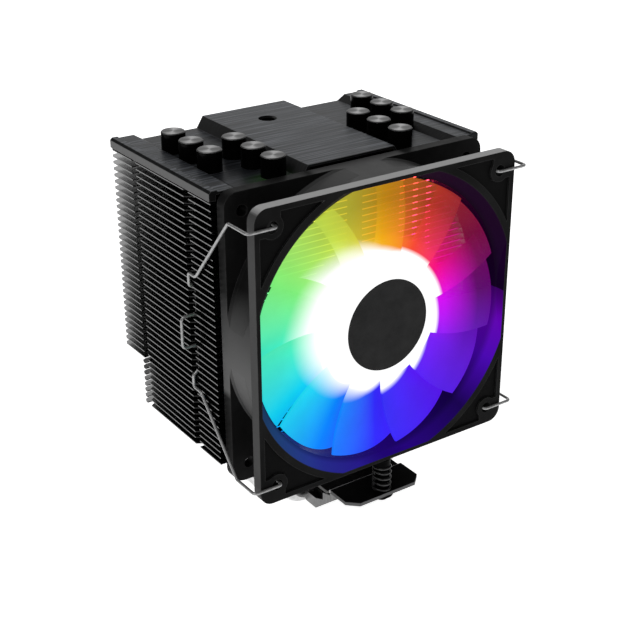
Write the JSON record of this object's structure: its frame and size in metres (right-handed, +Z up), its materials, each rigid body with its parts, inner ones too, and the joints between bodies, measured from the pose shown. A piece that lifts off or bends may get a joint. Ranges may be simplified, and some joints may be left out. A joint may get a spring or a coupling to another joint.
{
  "type": "cpu_tower_cooler",
  "caption": "Tower cooler for a processor: heat pipes rise from a metal base through a dark fin stack with a brushed top plate; a lit fan is clipped to the front face.",
  "frame": {"origin": "centre of the face that sits on the processor", "axes": "+Z up, away from the processor; fan on the -Y side, blowing along +Y; +X to the right seen from the fan"},
  "size_m": [0.1358, 0.1066, 0.1539],
  "materials": {
    "base_aluminium": "machined, satin",
    "pipe_nickel": "nickel-plated, smooth",
    "fin_black": "black-coated sheet, satin",
    "plate_black": "brushed black anodised sheet",
    "cap_black": "black anodised, turned bright end",
    "bar_black": "black-coated steel",
    "screw_steel": "nickel-plated",
    "screw_black": "black-coated steel",
    "spring_steel": "bright spring wire",
    "frame_plastic": "moulded, fine grain",
    "rotor_plastic": "frosted translucent",
    "label_black": "printed film, plain",
    "motor_steel": "pressed steel",
    "magnet_grey": "bonded ferrite",
    "winding_copper": "enamelled copper wire",
    "board_green": "circuit board",
    "led_white": "clear lens",
    "tube_brass": "turned"
  },
  "bodies": {
    "heatsink": {"base_block": "base_aluminium", "crossbar": "bar_black", "crossbar_screws": "screw_steel", "front_spring": "spring_steel", "rear_spring": "spring_steel", "heat_pipe_1": "pipe_nickel", "heat_pipe_2": "pipe_nickel", "heat_pipe_3": "pipe_nickel", "heat_pipe_4": "pipe_nickel", "heat_pipe_5": "pipe_nickel", "heat_pipe_6": "pipe_nickel", "cap_left_outer_front": "cap_black", "cap_left_outer_middle": "cap_black", "cap_left_outer_rear": "cap_black", "cap_left_inner_front": "cap_black", "cap_left_inner_middle": "cap_black", "cap_left_inner_rear": "cap_black", "cap_right_outer_front": "cap_black", "cap_right_outer_middle": "cap_black", "cap_right_outer_rear": "cap_black", "cap_right_inner_front": "cap_black", "cap_right_inner_middle": "cap_black", "cap_right_inner_rear": "cap_black", "fins_lower": "fin_black", "fins_upper": "fin_black", "top_plate": "plate_black"},
    "fan": {"fan_frame": "frame_plastic", "stator_core": "motor_steel", "coils": "winding_copper", "bearing_tube": "tube_brass", "sleeve_bearing": "tube_brass", "driver_board": "board_green", "hub_leds": "led_white", "rear_label": "label_black"},
    "rotor": {"rotor": "rotor_plastic", "hub_label": "label_black", "rotor_yoke": "motor_steel", "magnet_ring": "magnet_grey", "rotor_shaft": "screw_steel", "shaft_clip": "spring_steel"},
    "left_clip": {"left_fan_clip": "spring_steel"},
    "right_clip": {"right_fan_clip": "spring_steel"},
    "front_ring": {"front_retaining_ring": "screw_black"},
    "front_screw": {"front_spring_screw": "screw_black"},
    "rear_ring": {"rear_retaining_ring": "screw_black"},
    "rear_screw": {"rear_spring_screw": "screw_black"}
  },
  "joints": [
    {"name": "fan_height", "type": "slide", "parent": "heatsink", "child": "fan", "axis": [0, 0, 1], "range_m": [0, 0.015]},
    {"name": "rotor_spin", "type": "hinge", "parent": "fan", "child": "rotor", "pos_m": [0, -0.0356, 0.0884], "axis": [0, 1, 0], "continuous": true},
    {"name": "left_clip_swing", "type": "hinge", "parent": "fan", "child": "left_clip", "pos_m": [-0.051, -0.049, 0.0884], "axis": [0, 0, 1], "range_deg": [0, 45]},
    {"name": "right_clip_swing", "type": "hinge", "parent": "fan", "child": "right_clip", "pos_m": [0.051, -0.049, 0.0884], "axis": [0, 0, -1], "range_deg": [0, 45]},
    {"name": "front_screw_press", "type": "slide", "parent": "heatsink", "child": "front_ring", "axis": [0, 0, -1], "range_m": [0, 0.004], "stiffness_N_per_m": 5000, "springref_m": -0.0004, "deforming": ["front_spring"]},
    {"name": "front_screw_turn", "type": "hinge", "parent": "front_ring", "child": "front_screw", "pos_m": [0, -0.045, 0.0255], "axis": [0, 0, 1], "continuous": true},
    {"name": "rear_screw_press", "type": "slide", "parent": "heatsink", "child": "rear_ring", "axis": [0, 0, -1], "range_m": [0, 0.004], "stiffness_N_per_m": 5000, "springref_m": -0.0004, "deforming": ["rear_spring"]},
    {"name": "rear_screw_turn", "type": "hinge", "parent": "rear_ring", "child": "rear_screw", "pos_m": [0, 0.045, 0.0255], "axis": [0, 0, 1], "continuous": true}
  ]
}
